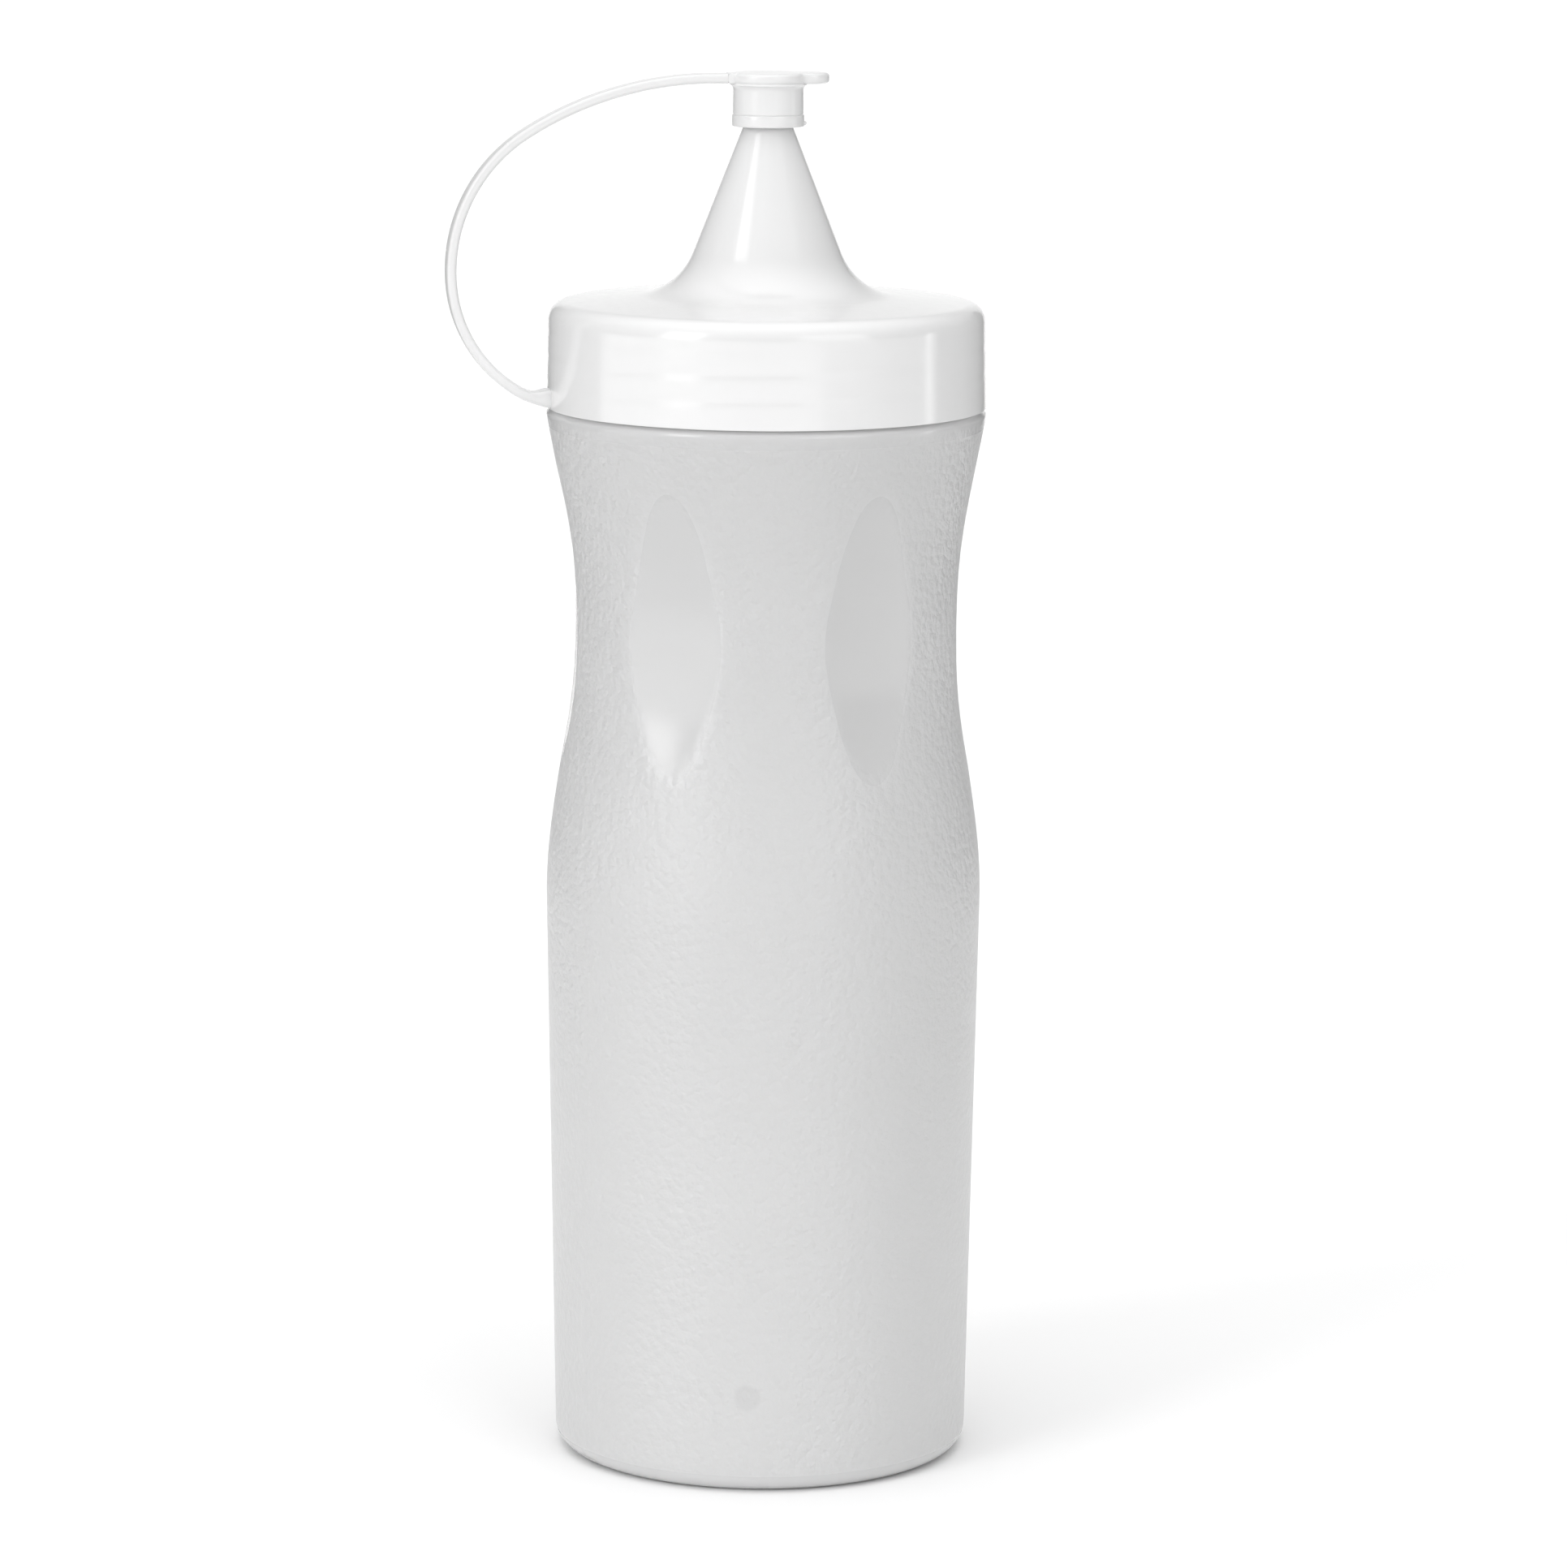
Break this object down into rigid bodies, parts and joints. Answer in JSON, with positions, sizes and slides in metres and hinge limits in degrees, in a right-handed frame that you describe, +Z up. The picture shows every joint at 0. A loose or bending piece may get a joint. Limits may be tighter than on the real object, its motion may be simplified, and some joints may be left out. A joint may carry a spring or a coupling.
{
  "type": "squeeze sauce bottle",
  "caption": "Wide-neck squeeze bottle with finger flutes at the waist, a screw lid with a cone nozzle, and a tip cap on a flexible strap.",
  "frame": {"origin": "middle of the foot ring, on the surface that the bottle stands on", "axes": "+Z up along the bottle's axis to the nozzle; -X is the side where the strap leaves the lid"},
  "size_m": [0.1049, 0.085, 0.2704],
  "materials": {
    "bottle_body": "translucent natural polyethylene, fine pebble grain outside, smooth in the flutes",
    "lid_moulding": "glossy opaque white polyethylene",
    "seal": "soft matt white liner"
  },
  "bodies": {
    "bottle": {"bottle": "bottle_body"},
    "seal_ring": {"seal_ring": "seal"},
    "lid": {"lid": "lid_moulding"},
    "strap_link_01": {"strap_link_01": "lid_moulding"},
    "strap_link_02": {"strap_link_02": "lid_moulding"},
    "strap_link_03": {"strap_link_03": "lid_moulding"},
    "strap_link_04": {"strap_link_04": "lid_moulding"},
    "strap_link_05": {"strap_link_05": "lid_moulding"},
    "strap_link_06": {"strap_link_06": "lid_moulding"},
    "strap_link_07": {"strap_link_07": "lid_moulding"},
    "strap_link_08": {"strap_link_08": "lid_moulding"},
    "tip_cap": {"tip_cap": "lid_moulding"}
  },
  "joints": [
    {"name": "lid_lift", "type": "slide", "parent": "bottle", "child": "seal_ring", "axis": [0, 0, 1], "range_m": [0, 0.00635]},
    {"name": "lid_turn", "type": "hinge", "parent": "seal_ring", "child": "lid", "pos_m": [0, 0, 0.2065], "axis": [0, 0, 1], "range_deg": [0, 450]},
    {"name": "strap_open", "type": "hinge", "parent": "lid", "child": "strap_link_01", "pos_m": [-0.0449, 0, 0.20868], "axis": [0, -1, 0], "range_deg": [0, 20]},
    {"name": "strap_flex_1", "type": "hinge", "parent": "strap_link_01", "child": "strap_link_02", "pos_m": [-0.05524, 0, 0.21575], "axis": [0, -1, 0], "range_deg": [0, 20]},
    {"name": "strap_flex_2", "type": "hinge", "parent": "strap_link_02", "child": "strap_link_03", "pos_m": [-0.06077, 0, 0.22712], "axis": [0, -1, 0], "range_deg": [0, 20]},
    {"name": "strap_flex_3", "type": "hinge", "parent": "strap_link_03", "child": "strap_link_04", "pos_m": [-0.06061, 0, 0.2398], "axis": [0, -1, 0], "range_deg": [0, 20]},
    {"name": "strap_flex_4", "type": "hinge", "parent": "strap_link_04", "child": "strap_link_05", "pos_m": [-0.05533, 0, 0.25133], "axis": [0, -1, 0], "range_deg": [0, 20]},
    {"name": "strap_flex_5", "type": "hinge", "parent": "strap_link_05", "child": "strap_link_06", "pos_m": [-0.04586, 0, 0.25977], "axis": [0, -1, 0], "range_deg": [0, 20]},
    {"name": "strap_flex_6", "type": "hinge", "parent": "strap_link_06", "child": "strap_link_07", "pos_m": [-0.03436, 0, 0.26528], "axis": [0, -1, 0], "range_deg": [0, 20]},
    {"name": "strap_flex_7", "type": "hinge", "parent": "strap_link_07", "child": "strap_link_08", "pos_m": [-0.02203, 0, 0.26853], "axis": [0, -1, 0], "range_deg": [0, 20]},
    {"name": "cap_tilt", "type": "hinge", "parent": "strap_link_08", "child": "tip_cap", "pos_m": [-0.0093, 0, 0.26942], "axis": [0, -1, 0], "range_deg": [0, 20]}
  ],
  "couplings": [
    {"joint": "lid_turn", "follows": "lid_lift", "rad_per_m": 1236.8},
    {"joint": "strap_flex_1", "follows": "strap_open", "ratio": 1},
    {"joint": "strap_flex_2", "follows": "strap_open", "ratio": 1},
    {"joint": "strap_flex_3", "follows": "strap_open", "ratio": 1},
    {"joint": "strap_flex_4", "follows": "strap_open", "ratio": 1},
    {"joint": "strap_flex_5", "follows": "strap_open", "ratio": 1},
    {"joint": "strap_flex_6", "follows": "strap_open", "ratio": 1},
    {"joint": "strap_flex_7", "follows": "strap_open", "ratio": 1},
    {"joint": "cap_tilt", "follows": "strap_open", "ratio": 1}
  ]
}
